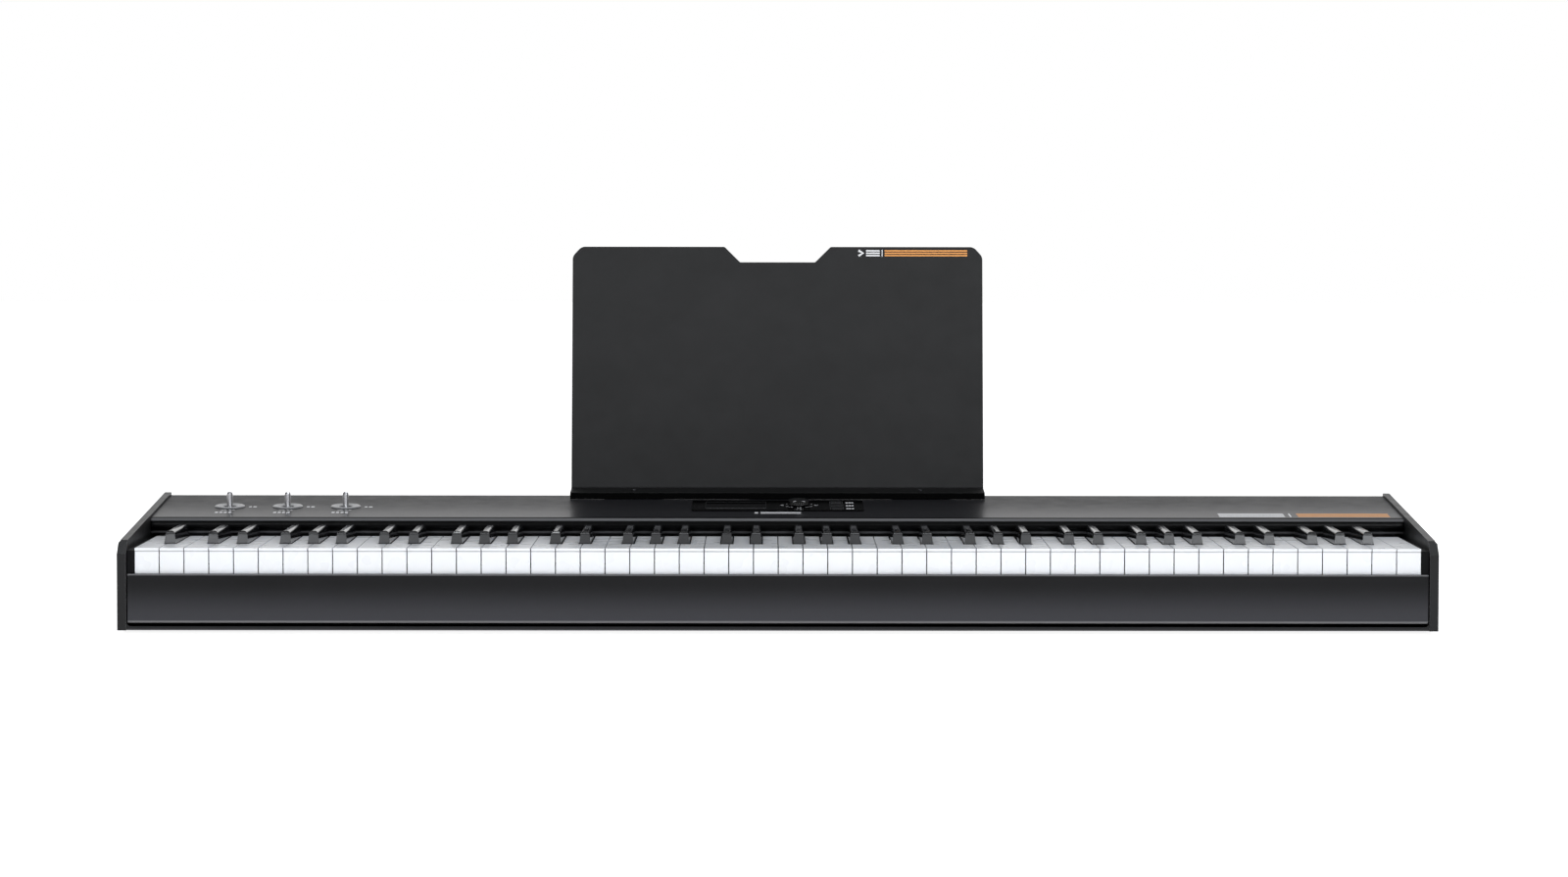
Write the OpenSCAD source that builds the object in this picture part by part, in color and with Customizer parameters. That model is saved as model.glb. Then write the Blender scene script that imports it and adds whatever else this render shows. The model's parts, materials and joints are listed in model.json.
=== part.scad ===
// Stage piano: an 88-key hammer-action keyboard in a folded steel case,
// with three joysticks, a control module and a lift-off magnetic music stand.
// X runs along the keys, Y runs from the player to the rear, Z is up.
// The origin is at the bottom centre of the bounding box.

/* [Keyboard] */
// Width of one white key, counting its gap
key_pitch = 23.5; // [23.3:0.05:23.7]
// Gap between neighbouring keys
key_gap = 1; // [0.8:0.1:1.2]
// Length of a white key that shows in front of the top panel
white_len = 151; // [148:1:153]
// Height of the white key tops above the table
key_top_z = 82; // [81:0.5:83]
// Length of a black key
black_len = 97; // [92:1:98]
// Width of a black key at its base
black_base_w = 11; // [10.4:0.2:11.4]
// Width of a black key across its top
black_top_w = 7.4; // [6.6:0.2:8.4]
// Height of a black key above the white keys
black_h = 12.4; // [11:0.2:13]

/* [Case] */
// Thickness of the folded steel sheet
sheet = 1.2; // [1.2:0.1:1.6]
// Inner radius of the folds
fold_r = 0.9; // [0.6:0.1:1]
// Thickness of an end cheek
cheek_w = 8.5; // [8:0.1:9]
// Space between the last key and a cheek
side_gap = 7.5; // [7:0.1:8]
// Slope of the top panel, in degrees
panel_slope = 4.65; // [4.4:0.05:4.8]
// Height of the rubber feet
foot_h = 3.8; // [3.6:0.1:4.4]

/* [Music stand] */
// Width of the stand
stand_w = 421; // [380:1:440]
// Length of the plate up its face
stand_h = 249; // [200:1:260]
// Lean of the plate from the vertical, in degrees
stand_tilt = 9; // [5:0.5:14]
// Thickness of the stand's sheet
stand_t = 2; // [1.5:0.1:2.2]
// Width of the notch at its mouth
notch_w = 109; // [80:1:120]
// Depth of the notch
notch_depth = 16; // [10:1:20]

/* [Controls] */
// Distance between neighbouring joysticks
stick_pitch = 58; // [50:1:62]
// Height of a joystick above the top panel
stick_h = 15.5; // [12:0.5:18]
// Width of the control module
module_w = 172; // [168:1:180]
// Depth of the control module
module_depth = 65; // [60:1:66]
// Radius of the rotary knob
knob_r = 11.5; // [9:0.5:12]

/* [Hidden] */
$fn = 48;

NOTE_NAMES = ["c", "c_sharp", "d", "d_sharp", "e", "f", "f_sharp", "g", "g_sharp", "a", "a_sharp", "b"];
CASE_NODES = ["bottom_tray", "front_panel", "top_panel", "rear_panel", "left_cheek", "right_cheek",
              "rubber_feet", "case_screws"];
ACTION_NODES = ["key_frame", "pivot_rods", "felt_strips", "contact_board"];
REAR_NODES = ["main_board", "dc_inlet", "data_sockets", "pedal_jacks", "switch_housing", "power_rocker"];
CONTROL_NODES = ["control_bezel", "display_window", "control_board", "encoder_bush", "encoder_knob",
                 "button_1", "button_2", "button_3"];
STICK_NODES = ["stick_bezels", "stick_housings", "stick_yoke_1", "stick_yoke_2", "stick_yoke_3",
               "stick_1", "stick_2", "stick_3"];
STAND_NODES = ["stand_plate", "stand_magnets"];
KEY_NODES = [for (name = NOTE_NAMES) str("keys_", name)];
HAMMER_NODES = [for (name = NOTE_NAMES) str("hammers_", name)];

// Widths. Depths are measured back from the front edge of the white keys.
first_note = 21;
last_note = 108;
keys_w = 52 * key_pitch;
case_w = keys_w + 2 * (side_gap + cheek_w);
inner_w = case_w - 2 * cheek_w;
fit_gap = 0.3;

// Depths of the case
front_face = -3;
cheek_front = -4;
cheek_nose = 10;
panel_front = 163;
rear_face = 318;
cheek_rear = rear_face + 0.5;

// Heights of the case
front_top = key_top_z - 24.3;
front_bottom = foot_h + 6.9;
tray_front_top = foot_h + 3.9;
tray_rear_top = foot_h + 10;
panel_front_z = key_top_z + 16.95;
panel_lip = 16.2;
nose_r = 8.3;
lip_low = panel_front_z - panel_lip;
rear_flange = 15;
cheek_above_panel = 2.5;
nose_low_z = key_top_z - 5.5;
panel_rear_z = panel_front_z + (rear_face - panel_front) * tan(panel_slope);

// Music stand, along and square to the top panel
ledge_front = 126.4;
ledge_corner = 159;
ledge_top = 7;
stand_lean = stand_tilt + panel_slope;
plate_top = [ledge_corner + stand_h * sin(stand_lean), ledge_top + stand_h * cos(stand_lean)];
plate_back = plate_top + stand_t * [cos(stand_lean), -sin(stand_lean)];
magnet_x = [-146, 0, 146];
magnet_size = [60, 18];

// The middle of the whole model's depth
stand_rear = panel_front + plate_back.x * cos(panel_slope) - plate_back.y * sin(panel_slope);
mid_depth = (cheek_front + stand_rear) / 2;

// Key action
black_front = white_len - 1 - black_len;
head_len = black_front - 1;
key_low = key_top_z - 15;
key_wall = 2;
skirt_low = key_top_z - 24.9;
lip_t = 2.2;
lip_over = 1.5;
shank_w = 9.6;
shank_rear = 238;
shank_low = 61;
shank_high = 76;
key_pivot = [225, 66];
rod_r = 2;
pivot_r = 2.08;
rod_seat_r = 2.04;
hammer_pivot = [95, 34];
tip_centre = [60, 39];
tip_r = 5;
foot_gap = 0.4;
key_foot = [5, 8];
hammer_w = 4;
weight_w = 8;
frame_low = 8.6;
frame_t = 2;
rib_t = 2.4;
action_rear = 242;
rest_felt = [196, 234];
stop_rail_low = 55.4;

// Controls, along the top panel from its front edge
stick_s = 74.2;
stick_first_x = -549;
stick_x = [for (i = [0:2]) stick_first_x + i * stick_pitch];
stick_pivot = -9;
module_s = 47;
module_mid_s = module_s + module_depth / 2;
row_pitch = 19.5;
row_s = [for (i = [-1:1]) module_mid_s + i * row_pitch];
display_x = -42;
display_size = [60, 42];
knob_x = 21.5;
button_x = 59;
button_size = [11, 12];

// Rear sockets
socket_z = 26;
switch_x = -470;
dc_x = -432;
usb_x = -392;
midi_x = [-352, -322];
pedal_x = [-284, -258, -232, -206];
screw_x = [-590, -300, 0, 300, 590];

// ---- helpers -----------------------------------------------------------

// Moves the model so that its depth is centred on the origin
module placed() {
    translate([0, -mid_depth, 0]) children();
}

// A (depth, height) outline carried along X from x0 to x1
module along_x(x0, x1) {
    translate([x0, 0, 0]) rotate([90, 0, 90]) linear_extrude(x1 - x0) children();
}

// The top panel's own frame: X, distance back along it, and height above it
module on_panel(x = 0, s = 0, n = 0) {
    translate([0, panel_front, panel_front_z]) rotate([panel_slope, 0, 0]) translate([x, s, n]) children();
}

// The music stand plate's own frame: X, and height up its face, from the fold
module on_plate() {
    on_panel(0, ledge_corner, ledge_top) rotate([90 - stand_lean, 0, 0]) children();
}

// A plate centred on X and Y with rounded corners, standing on Z = 0
module rounded_plate(w, d, h, r) {
    linear_extrude(h) {
        square([w - 2 * r, d], center = true);
        square([w, d - 2 * r], center = true);
        for (sx = [-1, 1], sy = [-1, 1]) translate([sx * (w / 2 - r), sy * (d / 2 - r)]) circle(r);
    }
}

function right_of(a, b) = let (u = (b - a) / norm(b - a)) [u.y, -u.x];
// The corner b of a path a, b, c, moved to the path's right by t
function miter(a, b, c, t) = let (n1 = right_of(a, b), n2 = right_of(b, c)) b + (n1 + n2) * t / (1 + n1 * n2);
function moved_path(p, t) = let (n = len(p) - 1)
    [for (i = [0:n]) i == 0 ? p[0] + right_of(p[0], p[1]) * t
                   : i == n ? p[n] + right_of(p[n - 1], p[n]) * t
                   : miter(p[i - 1], p[i], p[i + 1], t)];
function moved_loop(p, t) = let (n = len(p))
    [for (i = [0:n - 1]) miter(p[(i + n - 1) % n], p[i], p[(i + 1) % n], t)];

// The rounded corner b, as points on an arc of radius r
arc_steps = 6;
function steps_for(r) = r > 6 ? 2 * arc_steps : arc_steps;
function corner_arc(a, b, c, r) = let (
        u = (a - b) / norm(a - b), v = (c - b) / norm(c - b),
        half = acos(u * v) / 2,
        centre = b + (u + v) / norm(u + v) * r / sin(half),
        p0 = b + u * r / tan(half) - centre, p1 = b + v * r / tan(half) - centre,
        a0 = atan2(p0.y, p0.x), sweep = (atan2(p1.y, p1.x) - a0 + 540) % 360 - 180, n = steps_for(r))
    [for (i = [0:n]) centre + r * [cos(a0 + sweep * i / n), sin(a0 + sweep * i / n)]];
function turns_left(a, b, c) = cross(b - a, c - b) > 0;
// One face of a folded sheet: r lists each point's inner radius, and grow is added to the radius of
// its right-hand turns, or of its left-hand ones
function folded_face(p, r, grow_right, grow_left) = let (n = len(p) - 1)
    [for (i = [0:n]) each (i == 0 || i == n) ? [p[i]]
        : let (left = turns_left(p[i - 1], p[i], p[i + 1]))
          corner_arc(p[i - 1], p[i], p[i + 1], r[i] + (left ? grow_left : grow_right))];
// The section of a folded sheet that lies to the right of its path; r is one inner radius, or one for
// each point of the path
module folded_sheet(path, t, r) {
    radii = is_list(r) ? r : [for (p = path) r];
    back = folded_face(moved_path(path, t), radii, 0, t);
    polygon(concat(folded_face(path, radii, t, 0), [for (i = [len(back) - 1:-1:0]) back[i]]));
}

// ---- notes and their places ---------------------------------------------

BLACK_NOTES = [1, 3, 6, 8, 10];
slot_low = 3 * key_pitch / 5;
slot_high = 4 * key_pitch / 7;
function is_black(note) = len(search(note % 12, BLACK_NOTES)) > 0;
function octave_x(note) = -keys_w / 2 + key_pitch * (2 + 7 * (floor(note / 12) - 2));
// The middle of a note's tail, from the start of its octave
function slot_at(c) = c < 5 ? (c + 0.5) * slot_low : 3 * key_pitch + (c - 4.5) * slot_high;
function slot_x(note) = octave_x(note) + slot_at(note % 12);
function white_left(note) = let (c = note % 12) octave_x(note) + key_pitch * (c < 5 ? c / 2 : (c + 1) / 2);
function notes_of(c) = [for (note = [first_note:last_note]) if (note % 12 == c) note];
// Edges of a white key's tail, beside its black neighbours
function tail_left(note) = (note > first_note && is_black(note - 1))
    ? slot_x(note - 1) + black_base_w / 2 + key_gap : white_left(note) + key_gap / 2;
function tail_right(note) = (note < last_note && is_black(note + 1))
    ? slot_x(note + 1) - black_base_w / 2 - key_gap : white_left(note) + key_pitch - key_gap / 2;

// ---- keys and hammers -----------------------------------------------------

module box_at(x0, x1, d0, d1, z0, z1) {
    translate([x0, d0, z0]) cube([x1 - x0, d1 - d0, z1 - z0]);
}

// The rear arm of a key, its foot over the hammer, and what joins them to the key's top
module key_arm(x, top_z) {
    box_at(x - shank_w / 2, x + shank_w / 2, white_len - 4, shank_rear, shank_low, shank_high);
    foot_z = tip_centre.y + tip_r + foot_gap;
    box_at(x - key_foot.x / 2, x + key_foot.x / 2, tip_centre.x - key_foot.y / 2,
           tip_centre.x + key_foot.y / 2, foot_z, top_z);
}

module pivot_bore(p, r) {
    translate([-case_w / 2, p.x, p.y]) rotate([0, 90, 0]) cylinder(r = r, h = case_w);
}

module white_key(note) {
    x0 = white_left(note) + key_gap / 2;
    x1 = white_left(note) + key_pitch - key_gap / 2;
    t0 = tail_left(note);
    t1 = tail_right(note);
    difference() {
        union() {
            box_at(x0, x1, 0, head_len, key_top_z - lip_t, key_top_z);
            box_at(x0, x1, lip_over, head_len, key_low, key_top_z - lip_t);
            box_at(x0, x1, lip_over, lip_over + key_wall, skirt_low, key_low);
            box_at(t0, t1, head_len, white_len, key_low, key_top_z);
        }
        box_at(x0 + key_wall, x1 - key_wall, lip_over + key_wall, head_len - key_wall,
               key_low - 1, key_top_z - key_wall);
        box_at(t0 + key_wall, t1 - key_wall, head_len + key_wall, white_len - key_wall,
               key_low - 1, key_top_z - key_wall);
    }
    difference() {
        key_arm(slot_x(note), key_top_z - key_wall / 2);
        pivot_bore(key_pivot, pivot_r);
    }
}

// Cross-section of a black key's cap: a tapered block with a crowned top
module black_section() {
    crown_r = 3.8;
    top = key_top_z + black_h;
    base = [[-black_base_w / 2, key_top_z], [-black_top_w / 2 - 0.4, top],
            [black_top_w / 2 + 0.4, top], [black_base_w / 2, key_top_z]];
    polygon(concat([[-black_base_w / 2, key_low]], [base[0]], corner_arc(base[0], base[1], base[2], crown_r),
                   corner_arc(base[1], base[2], base[3], crown_r), [base[3]], [[black_base_w / 2, key_low]]));
}

// Side view of a black key's cap: a leaning front with a rounded brow
module black_profile() {
    top = key_top_z + black_h;
    brow_r = 5;
    lean = 3.2;
    foot = [black_front, key_top_z + 1];
    rear = [white_len - 1, top - 0.6];
    polygon(concat([[black_front, key_low], foot], corner_arc(foot, [black_front + lean, top], rear, brow_r),
                   [rear, [white_len - 1, key_low]]));
}

module black_key(note) {
    x = slot_x(note);
    difference() {
        intersection() {
            along_x(x - black_base_w, x + black_base_w) black_profile();
            translate([x, white_len, 0]) rotate([90, 0, 0]) linear_extrude(black_len + 2) black_section();
        }
        box_at(x - black_top_w / 2 + 1, x + black_top_w / 2 - 1, black_front + 4, white_len - 4,
               key_low - 1, key_top_z + 6);
    }
    difference() {
        key_arm(x, key_top_z + 7);
        pivot_bore(key_pivot, pivot_r);
    }
}

module keys_of(c) {
    placed() for (note = notes_of(c)) {
        if (is_black(note)) color("black") black_key(note);
        else color("ivory") white_key(note);
    }
}

module hammer(note) {
    x = slot_x(note);
    difference() {
        along_x(x - hammer_w / 2, x + hammer_w / 2) {
            translate(hammer_pivot) circle(6);
            translate(tip_centre) circle(tip_r);
            polygon([[60, 34], [60, 44], [95, 40], [95, 28]]);
            polygon([[93, 28.1], [93, 39.9], [200, 24], [200, 15]]);
        }
        pivot_bore(hammer_pivot, pivot_r);
    }
    along_x(x - weight_w / 2, x + weight_w / 2)
        polygon([[194, 17], [194, 22], [197, 24], [231, 24], [231, 14], [197, 14]]);
}

module hammers_of(c) {
    placed() color("dimgray") for (note = notes_of(c)) hammer(note);
}

// ---- key action's fixed parts ----------------------------------------------

// A rib between two octaves, which holds both rods
rib_outline = [[84, frame_low], [84, 44], [150, 49.8], [200, 49.8], [206, 72.5], [236, 72.5],
               [action_rear, 60], [action_rear, frame_low]];

module key_frame() {
    end_x = keys_w / 2 + fit_gap;
    wall_x = inner_w / 2 - fit_gap;
    block_top = key_top_z - 2.4;
    placed() color("#232326") difference() {
        union() {
            box_at(-wall_x, wall_x, 12, action_rear, frame_low, frame_low + frame_t);
            box_at(-wall_x, wall_x, 12, 12 + frame_t, frame_low, 46);
            box_at(-wall_x, wall_x, 12, 40, 44, 46);
            box_at(-wall_x, wall_x, 206, 236, stop_rail_low, stop_rail_low + frame_t);
            for (octave = [1:7]) {
                x = octave_x(12 * (octave + 1));
                along_x(x - rib_t / 2, x + rib_t / 2) polygon(rib_outline);
            }
            for (side = [-1, 1]) {
                x0 = side > 0 ? end_x : -wall_x;
                box_at(x0, x0 + wall_x - end_x, 12, panel_front - 1, frame_low, block_top);
                box_at(x0, x0 + wall_x - end_x, 1, 13, front_bottom + sheet + 0.5, block_top);
                box_at(x0, x0 + wall_x - end_x, panel_front - 2, action_rear, frame_low, shank_high);
            }
        }
        pivot_bore(key_pivot, rod_seat_r);
        pivot_bore(hammer_pivot, rod_seat_r);
    }
}

module pivot_rods() {
    rod_len = inner_w - 4;
    placed() color("silver") for (p = [key_pivot, hammer_pivot])
        translate([-rod_len / 2, p.x, p.y]) rotate([0, 90, 0]) cylinder(r = rod_r, h = rod_len);
}

module felt_strips() {
    half = keys_w / 2;
    placed() color("firebrick") {
        box_at(-half, half, 16, 38, 46, 49);
        // The hammers' rest and the strip above them, in the spaces between the ribs
        for (gap = [0:7]) {
            x0 = gap == 0 ? -half : octave_x(12 * (gap + 1)) + rib_t;
            x1 = gap == 7 ? half : octave_x(12 * (gap + 2)) - rib_t;
            box_at(x0, x1, rest_felt[0], rest_felt[1], frame_low + frame_t, 13.6);
            box_at(x0, x1, 208, 234, stop_rail_low - 2, stop_rail_low);
        }
    }
    // The dust strip that hangs from the top panel's nose
    placed() color("black")
        box_at(-half, half, panel_front + 10, panel_front + 12.5, shank_high + 1.5, lip_low);
}

module contact_board() {
    half = keys_w / 2 - 1;
    placed() color("darkgreen") {
        box_at(-half, half, 158, 192, 49.8, 51.4);
        for (note = [first_note:last_note])
            translate([slot_x(note), 175, 51.4]) linear_extrude(5.6) square([7, 14], center = true);
    }
}

// ---- case -----------------------------------------------------------------

module bottom_tray() {
    corner_r = 4.5;
    half = inner_w / 2 - 0.2;
    placed() color("#1c1c1e") difference() {
        union() {
            along_x(-half, half)
                folded_sheet([[rear_face, tray_rear_top], [rear_face, foot_h],
                              [front_face, foot_h], [front_face, tray_front_top]], sheet, fold_r);
            // Curved webs that close the ends of the front recess
            for (side = [0, 1]) mirror([side, 0, 0])
                translate([half, front_face + sheet, tray_front_top - 0.2]) rotate([90, 0, 0])
                    linear_extrude(sheet) difference() {
                        translate([-corner_r, 0]) square(corner_r);
                        translate([-corner_r, corner_r]) circle(corner_r);
                    }
        }
        for (x = screw_x) rear_screw_hole(x, tray_screw_z);
    }
}

tray_screw_z = foot_h + 6.2;
top_screw_z = panel_rear_z - 9;
module rear_screw_hole(x, z) {
    translate([x, rear_face + 5, z]) rotate([90, 0, 0]) cylinder(r = 1.7, h = 20);
}

module front_panel() {
    half = inner_w / 2 - 1.3;
    flange = 14;
    top_flange = sheet + fold_r + 0.01;
    low_fold_r = 2.3;
    placed() color("#1f1f21") along_x(-half, half)
        folded_sheet([[front_face + flange, front_bottom], [front_face, front_bottom],
                      [front_face, front_top], [front_face + top_flange, front_top]],
                     sheet, [0, low_fold_r, fold_r, 0]);
}

// The panel's front edge is rolled into a half-round nose
module top_panel() {
    half = inner_w / 2 - fit_gap;
    roll = nose_r - sheet;
    placed() color("#26262a") difference() {
        along_x(-half, half)
            folded_sheet([[panel_front + 18, lip_low], [panel_front, lip_low], [panel_front, panel_front_z],
                          [rear_face, panel_rear_z], [rear_face, panel_rear_z - rear_flange]],
                         sheet, [0, roll, roll, fold_r, 0]);
        for (x = stick_x) on_panel(x, stick_s, -5) cylinder(r = 12, h = 10);
        on_panel(0, module_mid_s, -5) rounded_plate(module_w - 4, module_depth - 4, 10, 2);
        for (x = screw_x) rear_screw_hole(x, top_screw_z);
    }
}

module rear_panel() {
    half = inner_w / 2 - fit_gap;
    placed() color("#1c1c1e") difference() {
        box_at(-half, half, rear_face - 2 * sheet, rear_face - sheet,
               foot_h + sheet + fold_r + 0.5, panel_rear_z - sheet - fold_r - 1.2);
        for (x = screw_x, z = [tray_screw_z, top_screw_z]) rear_screw_hole(x, z);
        socket_cuts();
        // Vent slots
        for (i = [0:7]) box_at(90 + 14 * i, 98 + 14 * i, rear_face - 5, rear_face, 40, 66);
    }
}

module socket_cuts() {
    back = rear_face + 1;
    box_at(switch_x - 10.2, switch_x + 10.2, rear_face - 5, back, socket_z - 6.8, socket_z + 6.8);
    box_at(usb_x - 6.3, usb_x + 6.3, rear_face - 5, back, socket_z - 5.8, socket_z + 5.8);
    round_cut(dc_x, 5.6);
    for (x = midi_x) round_cut(x, 8.2);
    for (x = pedal_x) round_cut(x, 5.2);
}

module round_cut(x, r) {
    translate([x, rear_face + 1, socket_z]) rotate([90, 0, 0]) cylinder(r = r, h = 6);
}

// Side view of a cheek, clockwise: its top runs parallel to the top panel
function cheek_top_z(d) = panel_front_z + cheek_above_panel + (d - panel_front) * tan(panel_slope);
cheek_outline = [[cheek_front, foot_h], [cheek_front, nose_low_z], [cheek_nose, cheek_top_z(cheek_nose)],
                 [cheek_rear, cheek_top_z(cheek_rear)], [cheek_rear, foot_h]];
cheek_screws = [[22, 34], [160, 34], [296, 34]];

module cheek() {
    outer = case_w / 2;
    pocket_wall = 2.5;
    edge_cut = 1.6;
    pocket_top = key_top_z - 8;
    difference() {
        along_x(outer - cheek_w, outer) polygon(cheek_outline);
        intersection() {
            along_x(outer - cheek_w - 1, outer - pocket_wall) polygon(moved_loop(cheek_outline, pocket_wall));
            box_at(0, outer, cheek_front, cheek_rear, 0, pocket_top);
        }
        // Chamfer along the outer top edge
        translate([outer, cheek_nose - 30, cheek_top_z(cheek_nose - 30)]) rotate([panel_slope, 0, 0])
            rotate([0, 45, 0]) translate([-edge_cut / sqrt(2), 0, -edge_cut]) cube([10, 400, 2 * edge_cut]);
        for (p = cheek_screws) translate([outer, p.x, p.y]) rotate([0, -90, 0]) {
            cylinder(r = 1.7, h = 4);
            translate([0, 0, -0.01]) cylinder(r1 = 3.4, r2 = 1.7, h = 1.7);
        }
    }
}

module right_cheek() {
    placed() color("#202022") cheek();
}

module left_cheek() {
    placed() color("#202022") mirror([1, 0, 0]) cheek();
}

module rubber_feet() {
    placed() color("black") for (x = [-540, 0, 540], d = [72, 280])
        translate([x, d, 0]) {
            cylinder(r = 12, h = foot_h);
            cylinder(r = 13, h = 2.5);
        }
}

module case_screws() {
    placed() color("gray") {
        for (x = screw_x, z = [tray_screw_z, top_screw_z]) translate([x, rear_face, z]) rotate([-90, 0, 0]) {
            translate([0, 0, -9]) cylinder(r = 1.5, h = 9.2);
            difference() {
                cylinder(r1 = 3, r2 = 2.4, h = 1.6);
                translate([0, 0, 0.6]) cylinder(r = 1.3, h = 2, $fn = 6);
            }
        }
        for (side = [0, 1]) mirror([side, 0, 0]) for (p = cheek_screws)
            translate([case_w / 2 - 0.2, p.x, p.y]) rotate([0, -90, 0]) {
                difference() {
                    cylinder(r1 = 3, r2 = 1.5, h = 1.5);
                    translate([0, 0, -0.5]) cylinder(r = 1.2, h = 1.2, $fn = 6);
                }
                translate([0, 0, 1.4]) cylinder(r = 1.5, h = 6.6);
            }
    }
}

// ---- electronics and rear sockets --------------------------------------------

board_z = 14;
board_t = 1.6;
module main_board() {
    placed() color("darkgreen") {
        box_at(-500, -140, 262, 312, board_z, board_z + board_t);
        for (x = [-492, -148], d = [268, 306]) translate([x, d, foot_h + sheet])
            cylinder(r = 3, h = board_z - foot_h - sheet);
        box_at(-180, -162, 274, 292, board_z + board_t, board_z + board_t + 2);
        for (x = [-175, -155]) translate([x, 300, board_z + board_t]) cylinder(r = 3.5, h = 9);
    }
}

socket_low = board_z + board_t;
module dc_inlet() {
    placed() color("#151515") difference() {
        union() {
            box_at(dc_x - 5.5, dc_x + 5.5, 300, rear_face - 2 * sheet, socket_low, socket_z + 6);
            translate([dc_x, rear_face - 0.2, socket_z]) rotate([90, 0, 0]) cylinder(r = 5.3, h = 6);
        }
        translate([dc_x, rear_face + 1, socket_z]) rotate([90, 0, 0]) cylinder(r = 2.9, h = 12);
    }
    placed() color("silver")
        translate([dc_x, rear_face - 2, socket_z]) rotate([90, 0, 0]) cylinder(r = 1, h = 10);
}

module data_sockets() {
    placed() color("#2a2a2c") {
        difference() {
            union() {
                box_at(usb_x - 6, usb_x + 6, 300, rear_face - 2 * sheet, socket_low, socket_z + 5.4);
                box_at(usb_x - 6, usb_x + 6, 300, rear_face - 0.5, socket_z - 5.4, socket_z + 5.4);
            }
            box_at(usb_x - 4.4, usb_x + 4.4, 305, rear_face + 1, socket_z - 4, socket_z + 4);
        }
        box_at(usb_x - 2.8, usb_x + 2.8, 304.9, rear_face - 3, socket_z - 1.6, socket_z + 1.6);
        for (x = midi_x) difference() {
            union() {
                box_at(x - 10, x + 10, 298, rear_face - 2 * sheet, socket_low, socket_z + 9.5);
                translate([x, rear_face - 0.5, socket_z]) rotate([90, 0, 0]) cylinder(r = 7.9, h = 6);
            }
            translate([x, rear_face + 1, socket_z]) rotate([90, 0, 0]) cylinder(r = 6.8, h = 10);
        }
    }
}

module pedal_jacks() {
    jack_r = 3.2;
    jack_depth = 30;
    placed() color("#1a1a1a") for (x = pedal_x) difference() {
        union() {
            box_at(x - 8, x + 8, 284, rear_face - 2 * sheet, socket_low, socket_z + 7);
            translate([x, rear_face + 2.4, socket_z]) rotate([90, 0, 0]) cylinder(r = 4.8, h = 8);
            translate([x, rear_face + 1.6, socket_z]) rotate([90, 0, 0])
                cylinder(r = 6.6, h = 1.6 + sheet, $fn = 6);
        }
        translate([x, rear_face + 3, socket_z]) rotate([90, 0, 0]) cylinder(r = jack_r, h = jack_depth + 0.6);
    }
}

switch_axle = [rear_face - 4, socket_z];
module switch_housing() {
    body = [9.8, 6.4];
    flange = [12, 8.4];
    placed() color("#151515") {
        difference() {
            union() {
                box_at(switch_x - body.x, switch_x + body.x, 300, rear_face,
                       socket_z - body.y, socket_z + body.y);
                box_at(switch_x - flange.x, switch_x + flange.x, rear_face - sheet, rear_face + 0.8,
                       socket_z - flange.y, socket_z + flange.y);
            }
            box_at(switch_x - 7.6, switch_x + 7.6, 303, rear_face + 2, socket_z - 5, socket_z + 5);
        }
        translate([switch_x - 8, switch_axle.x, switch_axle.y]) rotate([0, 90, 0]) cylinder(r = 1, h = 16);
    }
}

// The rocker turns on a pin along X: its two faces meet in a shallow V
module power_rocker() {
    placed() color("#101010") difference() {
        along_x(switch_x - 7.2, switch_x + 7.2) translate(switch_axle)
            polygon([[-3.4, -2.8], [-3.4, 2.8], [2.4, 3.9], [5.2, 3.9], [4.2, 0], [3.4, -3.9], [1.6, -3.9]]);
        translate([switch_x - 10, switch_axle.x, switch_axle.y])
            rotate([0, 90, 0]) cylinder(r = 1.06, h = 20);
    }
}

// ---- control module ------------------------------------------------------------

bezel_top = 1.2;
module control_bezel() {
    placed() color("#0b0b0c") difference() {
        union() {
            on_panel(0, module_mid_s, 0) rounded_plate(module_w, module_depth, bezel_top, 3);
            on_panel(0, module_mid_s, -3) rounded_plate(module_w - 4.4, module_depth - 4.4, 3.1, 1.8);
        }
        on_panel(display_x, row_s[1], -4) rounded_plate(display_size.x, display_size.y, 6, 1.5);
        on_panel(knob_x, row_s[1], -4) cylinder(r = 5, h = 8);
        for (s = row_s) on_panel(button_x, s, -4)
            rounded_plate(button_size.x + 2 * fit_gap, button_size.y + 2 * fit_gap, 8, 1.3);
    }
}

module display_window() {
    placed() color("#050507") on_panel(display_x, row_s[1], -1)
        rounded_plate(display_size.x - 0.2, display_size.y - 0.2, 2, 1.4);
}

control_board_n = -14;
module control_board() {
    parts_n = control_board_n + 1.6;
    placed() {
        color("darkgreen")
            on_panel(0, module_mid_s, control_board_n) rounded_plate(module_w - 12, module_depth - 8, 1.6, 1);
        color("gray") {
            on_panel(display_x, row_s[1], parts_n)
                rounded_plate(display_size.x + 6, display_size.y + 6, 9.2, 1);
            on_panel(knob_x, row_s[1], parts_n) rounded_plate(13, 13, 4.4, 1);
            for (s = row_s) on_panel(button_x, s, parts_n) rounded_plate(6, 6, 4, 0.5);
        }
        // Posts between the board and the bezel
        color("black") for (x = [-76, -6, 76], s = [module_s + 7, module_s + module_depth - 7])
            on_panel(x, s, parts_n) cylinder(r = 2.5, h = -3 - parts_n);
    }
}

// The bush slides down onto the push switch, and the knob's stem turns in it
module encoder_bush() {
    placed() color("silver") on_panel(knob_x, row_s[1], -7) difference() {
        cylinder(r = 4.5, h = 7.6);
        translate([0, 0, -1]) cylinder(r = 3.05, h = 12);
    }
}

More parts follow.
